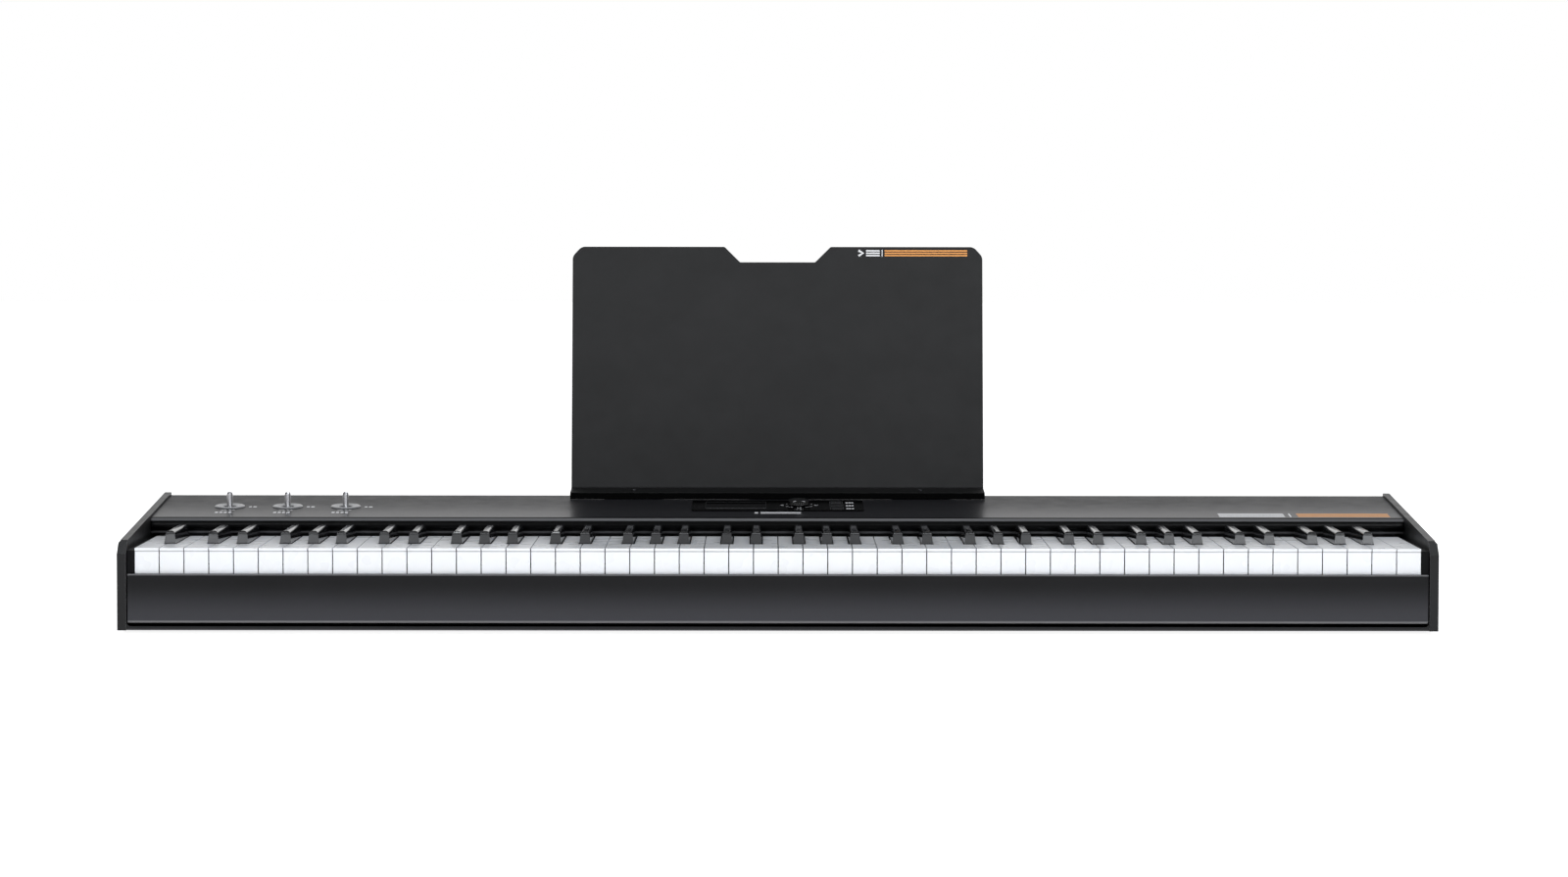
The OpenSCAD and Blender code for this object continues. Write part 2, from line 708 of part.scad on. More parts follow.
module encoder_knob() {
    knob_low = 2.2;
    knob_h = 4.6;
    grip_count = 32;
    placed() color("#0a0a0a") on_panel(knob_x, row_s[1], 0) {
        translate([0, 0, -6.5]) cylinder(r = 3, h = 6.5 + knob_low + 1);
        difference() {
            translate([0, 0, knob_low]) rotate_extrude()
                polygon([[0, 0], [knob_r - 0.4, 0], [knob_r, 0.4], [knob_r - 0.5, knob_h - 0.8],
                         [knob_r - 1.3, knob_h], [knob_r - 2, knob_h], [knob_r - 3.2, knob_h - 0.7],
                         [0, knob_h - 1.1]]);
            for (i = [0:grip_count - 1]) rotate([0, 0, i * 360 / grip_count])
                translate([knob_r + 0.15, 0, knob_low + 0.8]) cylinder(r = 0.5, h = knob_h - 2.2);
        }
    }
}

module push_button(s) {
    cap_top = 1.9;
    placed() color("#17171a") on_panel(button_x, s, 0) {
        translate([0, 0, -4]) rounded_plate(button_size.x, button_size.y, cap_top + 4, 1.2);
        translate([0, 0, control_board_n + 6.6]) cylinder(r = 1.6, h = -4.5 - control_board_n - 6);
    }
}

// ---- joysticks -------------------------------------------------------------------

stick_hole_r = 6.5;
module stick_bezels() {
    placed() color("#1b1b1d") for (x = stick_x) on_panel(x, stick_s, 0) rotate_extrude()
        polygon([[stick_hole_r, -1.4], [stick_hole_r, 0.3], [12.6, 1.5], [14, 1.5], [15, 0.7], [15, 0],
                 [11.7, 0], [11.7, -1.4]]);
}

module stick_housings() {
    outer = 29;
    depth = 22;
    placed() color("#2c2c2e") for (x = stick_x) on_panel(x, stick_s, 0) difference() {
        union() {
            translate([0, 0, -2.8]) rounded_plate(34, 34, 1.2, 2);
            translate([0, 0, -2.8 - depth]) rounded_plate(outer, outer, depth + 0.1, 1.5);
        }
        translate([0, 0, -1 - depth]) rounded_plate(24, 26, depth, 1);
        translate([-20, 0, stick_pivot]) rotate([0, 90, 0]) cylinder(r = 1.55, h = 40);
    }
}

module stick_yoke(x) {
    placed() color("gainsboro") on_panel(x, stick_s, stick_pivot) {
        difference() {
            translate([0, 0, -2.5]) rounded_plate(21, 20, 5, 1);
            translate([0, 0, -3]) rounded_plate(15, 13, 6, 1);
            translate([0, 12, 0]) rotate([90, 0, 0]) cylinder(r = 1.25, h = 24);
        }
        for (side = [-1, 1]) translate([side * 12.2, 0, 0]) rotate([0, 90, 0])
            cylinder(r = 1.5, h = 4.2, center = true);
    }
}

module stick(x) {
    shaft_r = 3;
    placed() color("silver") on_panel(x, stick_s, stick_pivot) {
        translate([0, 6.2, 0]) rotate([90, 0, 0]) cylinder(r = 4, h = 12.4);
        translate([0, 9.6, 0]) rotate([90, 0, 0]) cylinder(r = 1.2, h = 19.2);
        rotate_extrude() {
            dome_z = stick_h - stick_pivot - shaft_r;
            polygon(concat([[0, -9], [1.6, -9], [1.6, 0], [shaft_r, 0]],
                           [for (i = [0:arc_steps]) [shaft_r * cos(90 * i / arc_steps),
                                                     dome_z + shaft_r * sin(90 * i / arc_steps)]]));
        }
    }
}

// ---- music stand ------------------------------------------------------------------

// The plate's face: cut and rounded top corners, and a notch with rounded corners
module stand_outline() {
    half = stand_w / 2;
    corner = [9, 10];
    corner_r = 9;
    notch_slant = 16;
    notch_r = 2.5;
    low = -60;
    // Half of the outline, from the notch out to the right and down
    notch_low = [notch_w / 2 - notch_slant, stand_h - notch_depth];
    notch_high = [notch_w / 2, stand_h];
    cut_a = [half - corner.x, stand_h];
    cut_b = [half, stand_h - corner.y];
    right = concat(corner_arc([0, notch_low.y], notch_low, notch_high, notch_r),
                   corner_arc(notch_low, notch_high, cut_a, notch_r),
                   corner_arc(notch_high, cut_a, cut_b, corner_r),
                   corner_arc(cut_a, cut_b, [half, 0], corner_r), [[half, low]]);
    polygon(concat(right, [for (i = [len(right) - 1:-1:0]) [-right[i].x, right[i].y]]));
}

module stand_plate() {
    over = 2;
    top = plate_top + over * [sin(stand_lean), cos(stand_lean)];
    placed() color("#242426") intersection() {
        on_panel() along_x(-stand_w / 2 - over, stand_w / 2 + over)
            folded_sheet([[ledge_front, fit_gap], [ledge_front, ledge_top], [ledge_corner, ledge_top], top],
                         stand_t, 1.2);
        on_plate() translate([0, 0, -60]) linear_extrude(120) stand_outline();
    }
}

module stand_magnets() {
    low = 0.2;
    top = ledge_top - stand_t;
    mid_s = (ledge_front + ledge_corner) / 2 + 1;
    placed() color("gray") for (x = magnet_x)
        on_panel(x, mid_s, low) rounded_plate(magnet_size.x, magnet_size.y, top - low, 1.5);
}

// ---- one line per node ----------------------------------------------------------------

bottom_tray();
front_panel();
top_panel();
rear_panel();
left_cheek();
right_cheek();
rubber_feet();
case_screws();
key_frame();
pivot_rods();
felt_strips();
contact_board();
main_board();
dc_inlet();
data_sockets();
pedal_jacks();
switch_housing();
power_rocker();
control_bezel();
display_window();
control_board();
encoder_bush();
encoder_knob();
for (i = [0:2]) push_button(row_s[i]);
stick_bezels();
stick_housings();
for (i = [0:2]) stick_yoke(stick_x[i]);
for (i = [0:2]) stick(stick_x[i]);
stand_plate();
stand_magnets();
for (c = [0:11]) keys_of(c);
for (c = [0:11]) hammers_of(c);
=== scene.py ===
"""Looks of a stage piano with a magnetic music stand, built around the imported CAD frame.

Everything is in metres, in the frame's own axes: X along the keys, Y to the rear, Z up.
"""

import copy
import json
import math

import bmesh
import bpy
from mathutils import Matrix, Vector, noise as smooth_noise

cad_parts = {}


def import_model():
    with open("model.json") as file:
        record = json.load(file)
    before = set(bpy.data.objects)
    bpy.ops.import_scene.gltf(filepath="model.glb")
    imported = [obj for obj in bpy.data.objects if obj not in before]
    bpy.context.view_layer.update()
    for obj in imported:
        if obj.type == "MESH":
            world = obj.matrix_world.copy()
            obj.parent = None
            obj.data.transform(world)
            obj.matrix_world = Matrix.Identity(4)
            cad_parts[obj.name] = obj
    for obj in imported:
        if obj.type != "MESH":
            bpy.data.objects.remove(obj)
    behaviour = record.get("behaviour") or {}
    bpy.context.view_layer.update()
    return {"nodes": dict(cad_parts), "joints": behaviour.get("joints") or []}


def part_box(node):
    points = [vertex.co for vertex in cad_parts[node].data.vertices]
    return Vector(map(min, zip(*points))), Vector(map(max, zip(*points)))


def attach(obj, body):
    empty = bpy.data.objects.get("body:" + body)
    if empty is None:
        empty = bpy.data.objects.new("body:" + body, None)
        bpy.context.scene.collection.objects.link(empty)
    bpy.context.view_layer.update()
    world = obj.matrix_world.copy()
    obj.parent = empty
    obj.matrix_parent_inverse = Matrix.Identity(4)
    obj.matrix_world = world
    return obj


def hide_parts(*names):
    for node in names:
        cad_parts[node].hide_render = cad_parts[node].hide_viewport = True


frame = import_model()

MM = 0.001
X_AXIS = Vector((1, 0, 0))
NOTE_NAMES = ("c", "c_sharp", "d", "d_sharp", "e", "f", "f_sharp", "g", "g_sharp", "a", "a_sharp", "b")
WHITE_KEYS = ["keys_" + name for name in NOTE_NAMES if "sharp" not in name]
BLACK_KEYS = ["keys_" + name for name in NOTE_NAMES if "sharp" in name]
HAMMERS = ["hammers_" + name for name in NOTE_NAMES]


# ---- places, read from the frame ------------------------------------------------

class Surface:
    """A node's widest flat face: a point is given as X, distance up the face, and height off it."""

    def __init__(self, node, facing):
        faces = [p for p in frame["nodes"][node].data.polygons if p.normal.dot(facing) > 0.6]
        widest = max(faces, key=lambda p: p.area)
        self.normal = widest.normal.normalized()
        self.up = self.normal.cross(X_AXIS).normalized()
        points = [frame["nodes"][node].data.vertices[i].co for i in widest.vertices]
        self.origin = min(points, key=lambda p: p.dot(self.up)).copy()
        self.origin.x = 0

    def at(self, x, v, n=0.0):
        return self.origin + X_AXIS * x + self.up * v + self.normal * n

    def up_to(self, point):
        """How far up the face a point lies."""
        return (Vector(point) - self.origin).dot(self.up)

    def height_of(self, node):
        """How far a node stands off the face."""
        return max((v.co - self.origin).dot(self.normal) for v in frame["nodes"][node].data.vertices)

    def lifted(self, n):
        """The same face, moved out by n."""
        moved = copy.copy(self)
        moved.origin = self.origin + self.normal * n
        return moved


panel = Surface("top_panel", Vector((0, 0, 1)))
plate = Surface("stand_plate", Vector((0, -1, 0)))

FRONT_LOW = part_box("front_panel")[0].z
TOP_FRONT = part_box("top_panel")[0].y
LEDGE_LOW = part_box("stand_plate")[0].z
KEY_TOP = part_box("keys_c")[1].z


def middle(node):
    low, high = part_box(node)
    return (low + high) / 2


# ---- materials --------------------------------------------------------------------

def new_material(name, color, roughness):
    """A Principled material, and what a recipe needs to add nodes to it."""
    material = bpy.data.materials.new(name)
    material.use_nodes = True
    shader = material.node_tree.nodes["Principled BSDF"]
    shader.inputs["Base Color"].default_value = (*color, 1)
    shader.inputs["Roughness"].default_value = roughness
    return material, material.node_tree, shader


def scaled(color, factor):
    return tuple(c * factor for c in color)


def noise(tree, scale, detail, stretch=(1, 1, 1)):
    """Noise in object space, in cycles per metre."""
    place = tree.nodes.new("ShaderNodeTexCoord")
    mapping = tree.nodes.new("ShaderNodeMapping")
    mapping.inputs["Scale"].default_value = stretch
    texture = tree.nodes.new("ShaderNodeTexNoise")
    texture.inputs["Scale"].default_value = scale
    texture.inputs["Detail"].default_value = detail
    tree.links.new(place.outputs["Object"], mapping.inputs["Vector"])
    tree.links.new(mapping.outputs["Vector"], texture.inputs["Vector"])
    return texture.outputs["Fac"]


def ramp(tree, factor, low, high, start=0.3, end=0.7):
    """Maps a factor to a colour or, when low and high are numbers, to a grey of that value."""
    node = tree.nodes.new("ShaderNodeValToRGB")
    for element, place, value in zip(node.color_ramp.elements, (start, end), (low, high)):
        element.position = place
        element.color = (*value, 1) if isinstance(value, tuple) else (value, value, value, 1)
    tree.links.new(factor, node.inputs["Fac"])
    return node.outputs["Color"]


def bump(tree, shader, layers):
    """Adds bumps on top of one another: each layer is (height, strength, distance in metres)."""
    previous = None
    for height, strength, distance in layers:
        node = tree.nodes.new("ShaderNodeBump")
        node.inputs["Strength"].default_value = strength
        node.inputs["Distance"].default_value = distance
        tree.links.new(height, node.inputs["Height"])
        if previous:
            tree.links.new(previous, node.inputs["Normal"])
        previous = node.outputs["Normal"]
    tree.links.new(previous, shader.inputs["Normal"])


def axis_share(tree, axes):
    """How squarely a surface faces one of the object's own axes: 1 is square on, less is slanted."""
    place = tree.nodes.new("ShaderNodeTexCoord")
    split = tree.nodes.new("ShaderNodeSeparateXYZ")
    tree.links.new(place.outputs["Normal"], split.inputs["Vector"])
    share = None
    for axis in axes:
        size = tree.nodes.new("ShaderNodeMath")
        size.operation = "ABSOLUTE"
        tree.links.new(split.outputs[axis], size.inputs[0])
        if share is None:
            share = size.outputs[0]
            continue
        largest = tree.nodes.new("ShaderNodeMath")
        largest.operation = "MAXIMUM"
        tree.links.new(share, largest.inputs[0])
        tree.links.new(size.outputs[0], largest.inputs[1])
        share = largest.outputs[0]
    return share


def folds(tree):
    """1 on the round of a fold or an edge, 0 on a flat face."""
    return ramp(tree, axis_share(tree, "XYZ"), 1.0, 0.0, 0.88, 0.965)


def plateau(tree, factor, start, full, fading, end):
    """1 where a factor lies from full to fading, falling to 0 at start and at end."""
    result = ramp(tree, factor, 0.0, 0.0, start, end)
    for place in (full, fading):
        result.node.color_ramp.elements.new(place).color = (1, 1, 1, 1)
    return result


def ridge(tree):
    """1 where a surface faces half up or half down, 0 where it is level or upright."""
    return plateau(tree, axis_share(tree, "Z"), 0.55, 0.66, 0.84, 0.92)


def side_edges(tree):
    """1 on the rounded edges beside a cheek's two flat sides, 0 elsewhere."""
    return plateau(tree, axis_share(tree, "X"), 0.1, 0.3, 0.85, 0.97)


def blended(tree, factor, below, above):
    """below where factor is 0, above where it is 1; each is a socket, a grey value or a colour."""
    node = tree.nodes.new("ShaderNodeMixRGB")
    tree.links.new(factor, node.inputs["Fac"])
    for socket, value in ((node.inputs["Color1"], below), (node.inputs["Color2"], above)):
        if isinstance(value, bpy.types.NodeSocket):
            tree.links.new(value, socket)
        else:
            socket.default_value = (*value, 1) if isinstance(value, tuple) else (value, value, value, 1)
    return node.outputs["Color"]


def along(tree, axis, low, high, curve="SMOOTHSTEP"):
    """0 at the place low along an axis, rising to 1 at the place high, in metres."""
    place = tree.nodes.new("ShaderNodeTexCoord")
    split = tree.nodes.new("ShaderNodeSeparateXYZ")
    tree.links.new(place.outputs["Object"], split.inputs["Vector"])
    span = tree.nodes.new("ShaderNodeMapRange")
    span.interpolation_type = curve
    span.inputs["From Min"].default_value = low
    span.inputs["From Max"].default_value = high
    tree.links.new(split.outputs[axis], span.inputs["Value"])
    return span.outputs["Result"]


def band(tree, axis, low, high):
    """1 in the middle of a band along an axis, fading to 0 at its two borders."""
    return plateau(tree, along(tree, axis, low, high, "LINEAR"), 0.0, 0.3, 0.6, 1.0)


def powder_coat(name, dark, light, roughness, specular=0.2, edge_highlight=(0.05, 0.05, 0.054), edges=folds):
    """Black powder coat: cloudy tone, orange peel, a fine grain, folds and edges smoother from wear, and a
    painted highlight in a paler tone on the folds and edges.
    """
    material, tree, shader = new_material(name, dark, roughness)
    shader.inputs["Specular IOR Level"].default_value = specular
    rubbed_and_highlight = edges(tree)
    rubbed_roughness = 0.3
    cloud = noise(tree, 14, 5, (1, 1, 1.6))
    tone = ramp(tree, cloud, dark, light, 0.35, 0.68)
    # Painted highlight: the folds and edges are painted in a paler tone.
    tree.links.new(blended(tree, rubbed_and_highlight, tone, edge_highlight), shader.inputs["Base Color"])
    haze = ramp(tree, noise(tree, 60, 4), roughness - 0.025, roughness + 0.035)
    tree.links.new(blended(tree, rubbed_and_highlight, haze, rubbed_roughness), shader.inputs["Roughness"])
    orange_peel = (noise(tree, 900, 2), 0.25, 0.2 * MM)
    grain = (noise(tree, 3800, 2), 0.3, 0.08 * MM)
    bump(tree, shader, [orange_peel, grain])
    return material


def turn_to(material, share, color, roughness):
    """Lets a finish turn to another tone and roughness where share(tree) is 1."""
    tree = material.node_tree
    shader = tree.nodes["Principled BSDF"]
    factor = share(tree)
    for name, value in (("Base Color", color), ("Roughness", roughness)):
        before = shader.inputs[name].links[0].from_socket
        tree.links.new(blended(tree, factor, before, value), shader.inputs[name])


def moulded(name, color, roughness, scale=2500, strength=0.25, specular=0.5):
    """Moulded plastic or rubber: a fine spark-eroded grain and slightly uneven tone."""
    material, tree, shader = new_material(name, color, roughness)
    shader.inputs["Specular IOR Level"].default_value = specular
    tree.links.new(ramp(tree, noise(tree, 90, 4), color, scaled(color, 1.25)), shader.inputs["Base Color"])
    haze = ramp(tree, noise(tree, 300, 3), roughness - 0.04, roughness + 0.05)
    tree.links.new(haze, shader.inputs["Roughness"])
    bump(tree, shader, [(noise(tree, scale, 2), strength, 0.1 * MM)])
    return material


def gloss(name, color, roughness, coat=0.6, specular=0.5):
    """Polished plastic with faint handling haze."""
    material, tree, shader = new_material(name, color, roughness)
    shader.inputs["Specular IOR Level"].default_value = specular
    shader.inputs["Coat Weight"].default_value = coat
    shader.inputs["Coat Roughness"].default_value = 0.06
    tree.links.new(ramp(tree, noise(tree, 90, 3), color, scaled(color, 1.2)), shader.inputs["Base Color"])
    haze = ramp(tree, noise(tree, 120, 5), roughness * 0.8, roughness * 1.5)
    tree.links.new(haze, shader.inputs["Roughness"])
    bump(tree, shader, [(noise(tree, 260, 2), 0.05, 0.1 * MM)])
    return material


def metal(name, color, roughness, lines=(1, 1, 1)):
    """Turned or pressed metal: fine lines along one direction."""
    material, tree, shader = new_material(name, color, roughness)
    shader.inputs["Metallic"].default_value = 1
    grain = noise(tree, 900, 3, lines)
    tree.links.new(ramp(tree, grain, scaled(color, 0.8), color), shader.inputs["Base Color"])
    tree.links.new(ramp(tree, grain, roughness - 0.05, roughness + 0.1), shader.inputs["Roughness"])
    bump(tree, shader, [(grain, 0.2, 0.06 * MM)])
    return material


def ivory(name, color, roughness):
    """White key plastic: a soft inner glow, slightly uneven in tone, and a painted shadow under the key's
    lip.
    """
    material, tree, shader = new_material(name, color, roughness)
    shader.inputs["Coat Weight"].default_value = 0.25
    shader.inputs["Coat Roughness"].default_value = 0.12
    shader.inputs["Subsurface Weight"].default_value = 0.08
    shader.inputs["Subsurface Radius"].default_value = (0.0012, 0.001, 0.0008)
    shader.inputs["Subsurface Scale"].default_value = 1.0
    warm = tuple(c * k for c, k in zip(color, (0.99, 0.985, 0.97)))
    tone = ramp(tree, noise(tree, 30, 2, (1, 0.05, 0.05)), color, warm)
    # Painted shadow: a darker band just under the lip.
    shade = band(tree, "Z", KEY_TOP - 3.9 * MM, KEY_TOP - 2.2 * MM)
    tree.links.new(blended(tree, shade, tone, scaled(color, 0.5)), shader.inputs["Base Color"])
    haze = ramp(tree, noise(tree, 40, 2), roughness - 0.02, roughness + 0.03)
    tree.links.new(haze, shader.inputs["Roughness"])
    bump(tree, shader, [(noise(tree, 90, 2), 0.006, 0.1 * MM)])
    return material


def felt(name, color):
    """Pressed felt: short random fibres."""
    material, tree, shader = new_material(name, color, 0.95)
    shader.inputs["Sheen Weight"].default_value = 0.5
    fibres = noise(tree, 1600, 6, (1, 0.4, 1))
    tree.links.new(ramp(tree, fibres, scaled(color, 0.5), color), shader.inputs["Base Color"])
    bump(tree, shader, [(fibres, 0.8, 0.4 * MM)])
    return material


def circuit_board(name):
    """Green solder mask with fine copper tracks showing through."""
    material, tree, shader = new_material(name, (0.01, 0.09, 0.04), 0.35)
    tracks = noise(tree, 260, 1, (1, 6, 1))
    tree.links.new(ramp(tree, tracks, (0.008, 0.06, 0.03), (0.03, 0.17, 0.07), 0.48, 0.52),
                   shader.inputs["Base Color"])
    bump(tree, shader, [(tracks, 0.3, 0.1 * MM)])
    return material


def ink(name, color):
    """Screen-printed ink, with a slightly broken tone."""
    material, tree, shader = new_material(name, color, 0.5)
    tree.links.new(ramp(tree, noise(tree, 1500, 3), scaled(color, 0.86), color), shader.inputs["Base Color"])
    return material


def front_powder_coat():
    """The front panel: painted light makes it paler toward its lower fold, and a painted highlight brightens
    both folds.
    """
    coat = powder_coat("front_coat", (0.0064, 0.0064, 0.0071), (0.0079, 0.0079, 0.0088), 0.46, 0.13)
    # Painted light: the panel grows paler toward its lower fold.
    turn_to(coat, lambda tree: along(tree, "Z", FRONT_LOW + 40 * MM, FRONT_LOW + 3 * MM),
            (0.0385, 0.0385, 0.0435), 0.44)
    # Painted highlight on both folds.
    turn_to(coat, folds, (0.17, 0.17, 0.175), 0.32)
    return coat


def top_powder_coat():
    """The top panel: smoother toward its nose, and paler there as a painted sheen; painted shade makes the
    nose black, but for a painted highlight along its ridge.
    """
    coat = powder_coat("top_coat", (0.0108, 0.0108, 0.0125), (0.0125, 0.0125, 0.0143), 0.42, 0.08)
    # Painted sheen: paler and smoother toward the front.
    turn_to(coat, lambda tree: along(tree, "Y", TOP_FRONT + 120 * MM, TOP_FRONT),
            (0.018, 0.018, 0.0205), 0.28)
    # Painted shade: the nose is near black.
    turn_to(coat, lambda tree: along(tree, "Y", TOP_FRONT + 8.5 * MM, TOP_FRONT + 8 * MM),
            (0.001, 0.001, 0.0011), 0.3)
    # Painted highlight along the nose's ridge.
    turn_to(coat, ridge, (0.13, 0.13, 0.135), 0.35)
    return coat


def stand_powder_coat():
    """The music stand: dark grey, with painted shade making its ledge near black."""
    coat = powder_coat("stand_coat", (0.0155, 0.0155, 0.0158), (0.0185, 0.0185, 0.019), 0.5)
    # Painted shade: near black below the top of the ledge.
    turn_to(coat, lambda tree: along(tree, "Z", LEDGE_LOW + 10.8 * MM, LEDGE_LOW + 9.8 * MM),
            (0.001, 0.001, 0.001), 0.6)
    return coat


def ebony():
    """Black key plastic: polished on top, duller on its front, and paler there as painted light."""
    plastic = gloss("black_key_plastic", (0.009, 0.009, 0.01), 0.09, 0.0)
    # Painted light: the front faces are paler.
    turn_to(plastic, lambda tree: ramp(tree, axis_share(tree, "Y"), 0.0, 1.0, 0.7, 0.9),
            (0.03, 0.03, 0.031), 0.3)
    return plastic


case_coat = powder_coat("case_coat", (0.0085, 0.0085, 0.0095), (0.0105, 0.0105, 0.012), 0.46)
front_coat = front_powder_coat()
top_coat = top_powder_coat()
stand_coat = stand_powder_coat()
# The cheeks' side edges are painted pale grey as a painted highlight.
cheek_coat = powder_coat("cheek_coat", (0.006, 0.006, 0.0065), (0.008, 0.008, 0.0088), 0.4, 0.25,
                         (0.2, 0.2, 0.205), side_edges)
white_key = ivory("white_key_plastic", (0.80, 0.815, 0.845), 0.28)
black_key = ebony()
gloss_black = gloss("gloss_black", (0.002, 0.002, 0.0022), 0.08)
module_black = gloss("module_black", (0.001, 0.001, 0.001), 0.12, 0.0, 0.05)
glass = gloss("display_glass", (0.0005, 0.0005, 0.0008), 0.06, 0.0, 0.1)
satin_steel = metal("satin_steel", (0.66, 0.66, 0.68), 0.28, (1, 1, 0.08))
rod_steel = metal("rod_steel", (0.55, 0.55, 0.57), 0.32, (0.05, 1, 1))
screw_steel = metal("black_zinc", (0.06, 0.06, 0.065), 0.35)
hammer_iron = metal("hammer_iron", (0.16, 0.16, 0.17), 0.5)
magnet_nickel = metal("magnet_nickel", (0.14, 0.14, 0.145), 0.35)
frame_plastic = moulded("frame_plastic", (0.003, 0.003, 0.0035), 0.6, specular=0.1)
socket_plastic = moulded("socket_plastic", (0.01, 0.01, 0.011), 0.38)
bezel_plastic = moulded("bezel_plastic", (0.24, 0.24, 0.245), 0.3)
button_plastic = moulded("button_plastic", (0.008, 0.008, 0.009), 0.3)
rubber = moulded("foot_rubber", (0.01, 0.01, 0.01), 0.75, 900, 0.5)
ledge_rubber = moulded("ledge_rubber", (0.0012, 0.0012, 0.0012), 0.8, 900, 0.5, specular=0.05)
black_felt = felt("black_felt", (0.012, 0.012, 0.013))
red_felt = felt("red_felt", (0.33, 0.02, 0.025))
board_green = circuit_board("circuit_board")
white_ink = ink("white_ink", (0.82, 0.82, 0.83))
orange_ink = ink("orange_ink", (0.80, 0.33, 0.07))
# Grey ink for printed outlines, also used as a painted reflection on the display's sill.
grey_ink_and_reflection = ink("grey_ink_and_reflection", (0.10, 0.10, 0.105))
dark_ink = ink("dark_ink", (0.012, 0.012, 0.013))


# ---- CAD nodes: materials and softened edges ----------------------------------------

# Points nearer than SAME_PLACE are one point, faces that meet flatter than FLAT_ANGLE are one face, and
# edges sharper than EDGE_ANGLE are rounded. Both angles are in degrees.
SAME_PLACE = 1e-6
FLAT_ANGLE = 0.1
EDGE_ANGLE = 28


def dress(nodes, material, width, segments):
    """Gives CAD nodes a material and rounds their edges by a width, in this many segments."""
    for name in nodes:
        piece = frame["nodes"][name]
        piece.data.materials.clear()
        piece.data.materials.append(material)
        weld = piece.modifiers.new("weld", "WELD")
        weld.merge_threshold = SAME_PLACE
        merging = piece.modifiers.new("merging", "DECIMATE")
        merging.decimate_type = "DISSOLVE"
        merging.angle_limit = math.radians(FLAT_ANGLE)
        rounding = piece.modifiers.new("rounding", "BEVEL")
        rounding.width = width
        rounding.segments = segments
        rounding.limit_method = "ANGLE"
        rounding.angle_limit = math.radians(EDGE_ANGLE)


dress(["front_panel"], front_coat, 0.3 * MM, 2)
dress(["bottom_tray"], case_coat, 0.3 * MM, 2)
dress(["rear_panel"], case_coat, 0.3 * MM, 2)
dress(["top_panel"], top_coat, 0.3 * MM, 2)
dress(["left_cheek", "right_cheek"], cheek_coat, 1 * MM, 3)
dress(["stand_plate"], stand_coat, 0.4 * MM, 2)
dress(WHITE_KEYS, white_key, 0.6 * MM, 3)
dress(BLACK_KEYS, black_key, 0.4 * MM, 2)
dress(HAMMERS, hammer_iron, 0.4 * MM, 1)
dress(["key_frame", "stick_housings"], frame_plastic, 0.3 * MM, 1)
dress(["pivot_rods"], rod_steel, 0.2 * MM, 1)
dress(["case_screws"], screw_steel, 0.1 * MM, 1)
dress(["rubber_feet"], rubber, 0.6 * MM, 2)
dress(["contact_board", "main_board", "control_board"], board_green, 0.1 * MM, 1)
dress(["dc_inlet", "data_sockets", "pedal_jacks", "switch_housing"], socket_plastic, 0.2 * MM, 2)
dress(["power_rocker", "encoder_knob"], gloss_black, 0.3 * MM, 3)
dress(["control_bezel"], module_black, 0.3 * MM, 3)
dress(["display_window"], glass, 0.3 * MM, 2)
dress(["button_1", "button_2", "button_3"], button_plastic, 0.4 * MM, 3)
dress(["encoder_bush", "stick_yoke_1", "stick_yoke_2", "stick_yoke_3"], rod_steel, 0.2 * MM, 1)
dress(["stick_1", "stick_2", "stick_3"], satin_steel, 0.2 * MM, 2)
dress(["stick_bezels"], bezel_plastic, 0.2 * MM, 2)
dress(["stand_magnets"], magnet_nickel, 0.3 * MM, 1)


# ---- thin printed marks ---------------------------------------------------------------

# How far ink stands above a surface and sinks into it, and how far the display's rim stands above the module
INK_DEPTH = 0.05 * MM
INK_SINK = 0.01 * MM
RIM_DEPTH = 0.2 * MM


def bar(x0, v0, x1, v1, radius=0.0):
    """A rectangle, or one with round corners, as points (x, v) going round once."""
    if not radius:
        return [(x0, v0), (x1, v0), (x1, v1), (x0, v1)]
    points = []
    left, right, low, high = x0 + radius, x1 - radius, v0 + radius, v1 - radius
    for quarter, (cx, cv) in enumerate(((right, high), (left, high), (left, low), (right, low))):
        for step in range(5):
            angle = math.pi / 2 * (quarter + step / 4)
            points.append((cx + radius * math.cos(angle), cv + radius * math.sin(angle)))
    return points


def stroke(points, width):
    """An open line through (x, v) points, given a width."""
    left, right = [], []
    for i, (x, v) in enumerate(points):
        before = Vector(points[max(i - 1, 0)])
        after = Vector(points[min(i + 1, len(points) - 1)])
        forward = (after - before).normalized()
        side = Vector((-forward.y, forward.x)) * width / 2
        left.append((x + side.x, v + side.y))
        right.append((x - side.x, v - side.y))
    return left + right[::-1]


def arc(cx, cv, radius, start, end, width):
    """Part of a ring, with its angles in degrees."""
    steps = 16
    angles = [math.radians(start + (end - start) * i / steps) for i in range(steps + 1)]
    return stroke([(cx + radius * math.cos(a), cv + radius * math.sin(a)) for a in angles], width)


def chevron(cx, cv, size, turn, width):
    """An arrow head that points along turn, in degrees."""
    points = []
    for angle, share in ((turn + 135, 0.8), (turn, 0.35), (turn - 135, 0.8)):
        a = math.radians(angle)
        points.append((cx + size * share * math.cos(a), cv + size * share * math.sin(a)))
    return stroke(points, width)


def outline(x0, v0, x1, v1, width):
    """The four sides of a rectangle, as four bars."""
    return [bar(x0, v0, x1, v0 + width), bar(x0, v1 - width, x1, v1),
            bar(x0, v0, x0 + width, v1), bar(x1 - width, v0, x1, v1)]


